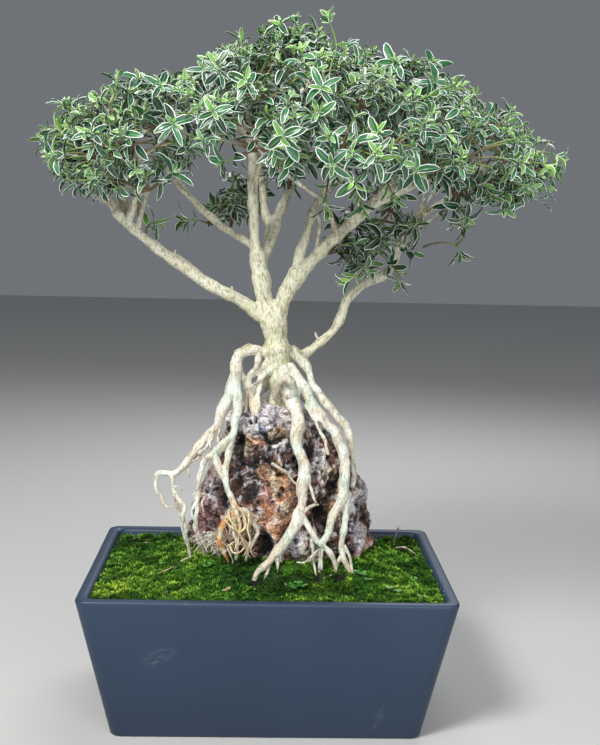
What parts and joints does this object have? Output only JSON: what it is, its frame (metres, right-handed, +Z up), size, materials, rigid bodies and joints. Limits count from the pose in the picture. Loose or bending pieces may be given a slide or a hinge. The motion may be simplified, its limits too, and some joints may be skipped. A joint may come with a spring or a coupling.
{
  "type": "mount fuji serissa bonsai",
  "caption": "Small-leaved evergreen bonsai with pale roots grown over a rock, standing in moss in a tapered rectangular glazed pot.",
  "frame": {"origin": "middle of the pot's underside, on the surface it stands on", "axes": "+Z up, +X along the pot's long side to the right as seen from the front, +Y away from the front"},
  "size_m": [0.4139, 0.259, 0.5419],
  "materials": {
    "pot": "matte slate-blue glaze",
    "screen": "moulded plastic mesh",
    "soil": "crumbly dark potting soil",
    "moss": "living cushion moss",
    "rock": "craggy pitted volcanic rock",
    "wood": "pale smooth bark",
    "leaf": "green leaf with a cream edge"
  },
  "bodies": {
    "root": {"pot": "pot", "drain_screen_left": "screen", "drain_screen_right": "screen", "soil": "soil", "moss": "moss", "rock": "rock", "wood": "wood", "spray_01": "leaf", "spray_02": "leaf", "spray_03": "leaf", "spray_04": "leaf", "spray_05": "leaf", "spray_06": "leaf", "spray_07": "leaf", "spray_08": "leaf", "spray_09": "leaf", "spray_10": "leaf", "spray_11": "leaf", "spray_12": "leaf", "spray_13": "leaf", "spray_14": "leaf", "spray_15": "leaf", "spray_16": "leaf", "spray_17": "leaf", "spray_18": "leaf", "spray_19": "leaf", "spray_20": "leaf", "spray_21": "leaf", "spray_22": "leaf", "spray_23": "leaf", "spray_24": "leaf", "spray_25": "leaf", "spray_26": "leaf", "spray_27": "leaf", "spray_28": "leaf", "spray_29": "leaf", "spray_30": "leaf", "spray_31": "leaf", "spray_32": "leaf", "spray_33": "leaf", "spray_34": "leaf", "spray_35": "leaf", "spray_36": "leaf", "spray_37": "leaf", "spray_38": "leaf", "spray_39": "leaf", "spray_40": "leaf", "spray_41": "leaf", "spray_42": "leaf", "spray_43": "leaf", "spray_44": "leaf", "spray_45": "leaf", "spray_46": "leaf", "spray_47": "leaf", "spray_48": "leaf", "spray_49": "leaf", "spray_50": "leaf", "spray_51": "leaf", "spray_52": "leaf"}
  },
  "joints": []
}
